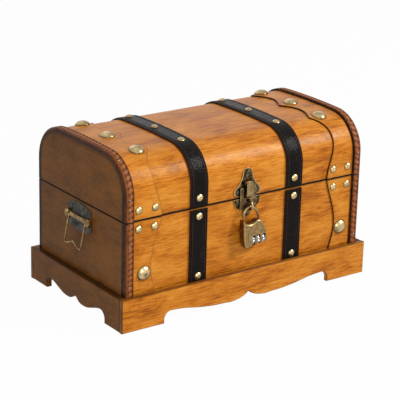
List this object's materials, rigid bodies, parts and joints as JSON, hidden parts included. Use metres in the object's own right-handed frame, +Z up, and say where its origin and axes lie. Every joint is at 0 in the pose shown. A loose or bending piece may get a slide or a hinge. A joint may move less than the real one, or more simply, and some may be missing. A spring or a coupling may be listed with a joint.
{
  "type": "treasure chest",
  "caption": "Footed wooden box with a domed hinged lid, leather straps, brass nails, a hasp with a combination padlock, and a bail handle on each end.",
  "frame": {"origin": "on the floor, under the middle of the bounding box", "axes": "+X along the chest to the viewer's right, -Y out of the front with the padlock, +Z up"},
  "size_m": [0.3888, 0.2204, 0.2185],
  "materials": {
    "honey_wood": "honey-stained wood under semi-gloss lacquer",
    "end_wood": "brown-stained wood, semi-gloss",
    "plinth_wood": "brown-stained wood with dark glazed edges",
    "moulding_wood": "carved moulding with dark reddish glaze",
    "black_leather": "stitched black leather, satin",
    "dark_bronze": "antique bronze, worn at the rims",
    "antique_brass": "antique brass, dark in the hollows",
    "bright_brass": "brushed brass",
    "dial_chrome": "polished chrome",
    "steel_pin": "plain steel"
  },
  "bodies": {
    "chest": {"plinth_front": "plinth_wood", "plinth_back": "plinth_wood", "plinth_left_end": "plinth_wood", "plinth_right_end": "plinth_wood", "base_panel": "end_wood", "box_front": "honey_wood", "box_back": "honey_wood", "box_left_end": "end_wood", "box_right_end": "end_wood", "box_strip_front_left": "moulding_wood", "box_strip_front_right": "moulding_wood", "box_strip_back_left": "moulding_wood", "box_strip_back_right": "moulding_wood", "box_overlay_front_left": "honey_wood", "box_overlay_front_right": "honey_wood", "box_overlay_back_left": "honey_wood", "box_overlay_back_right": "honey_wood", "box_strap_front_left": "black_leather", "box_strap_front_right": "black_leather", "box_strap_back_left": "black_leather", "box_strap_back_right": "black_leather", "hinge_box_leaf_left": "dark_bronze", "hinge_box_leaf_right": "dark_bronze", "hinge_pin_left": "steel_pin", "hinge_pin_right": "steel_pin", "latch_lower_plate": "dark_bronze", "latch_staple": "dark_bronze", "handle_plate_left": "dark_bronze", "handle_plate_right": "dark_bronze", "handle_saddle_left": "bright_brass", "handle_saddle_right": "bright_brass"},
    "lid": {"lid_skin": "honey_wood", "lid_left_end": "end_wood", "lid_right_end": "end_wood", "lid_front_rail": "end_wood", "lid_back_rail": "end_wood", "lid_strip_left": "moulding_wood", "lid_strip_right": "moulding_wood", "lid_overlay_left": "honey_wood", "lid_overlay_right": "honey_wood", "lid_strap_left": "black_leather", "lid_strap_right": "black_leather", "hinge_lid_leaf_left": "dark_bronze", "hinge_lid_leaf_right": "dark_bronze", "latch_upper_plate": "dark_bronze", "latch_pin": "steel_pin"},
    "hasp": {"latch_hasp": "dark_bronze"},
    "shackle": {"lock_shackle": "antique_brass"},
    "lock": {"lock_body": "antique_brass", "lock_spindle": "steel_pin"},
    "dial_1": {"lock_dial_1": "dial_chrome"},
    "dial_2": {"lock_dial_2": "dial_chrome"},
    "dial_3": {"lock_dial_3": "dial_chrome"},
    "bail_left": {"handle_bail_left": "bright_brass"},
    "bail_right": {"handle_bail_right": "bright_brass"}
  },
  "joints": [
    {"name": "lid_hinge", "type": "hinge", "parent": "chest", "child": "lid", "pos_m": [0, 0.10523, 0.137], "axis": [-1, 0, 0], "range_deg": [0, 100]},
    {"name": "hasp_swing", "type": "hinge", "parent": "lid", "child": "hasp", "pos_m": [0, -0.09947, 0.1565], "axis": [-1, 0, 0], "range_deg": [0, 105]},
    {"name": "lock_swing", "type": "hinge", "parent": "chest", "child": "shackle", "pos_m": [-0.0004, -0.10393, 0.12632], "axis": [-1, 0, 0], "range_deg": [0, 100]},
    {"name": "lock_draw", "type": "slide", "parent": "shackle", "child": "lock", "axis": [0, 0, -1], "range_m": [0, 0.006]},
    {"name": "dial_1_spin", "type": "hinge", "parent": "lock", "child": "dial_1", "pos_m": [0.0029, -0.10393, 0.08262], "axis": [1, 0, 0], "continuous": true},
    {"name": "dial_2_spin", "type": "hinge", "parent": "lock", "child": "dial_2", "pos_m": [0.0106, -0.10393, 0.08262], "axis": [1, 0, 0], "continuous": true},
    {"name": "dial_3_spin", "type": "hinge", "parent": "lock", "child": "dial_3", "pos_m": [0.0183, -0.10393, 0.08262], "axis": [1, 0, 0], "continuous": true},
    {"name": "bail_left_swing", "type": "hinge", "parent": "chest", "child": "bail_left", "pos_m": [-0.1864, 0.00173, 0.1147], "axis": [0, 1, 0], "range_deg": [0, 90]},
    {"name": "bail_right_swing", "type": "hinge", "parent": "chest", "child": "bail_right", "pos_m": [0.1864, 0.00173, 0.1147], "axis": [0, -1, 0], "range_deg": [0, 90]}
  ]
}
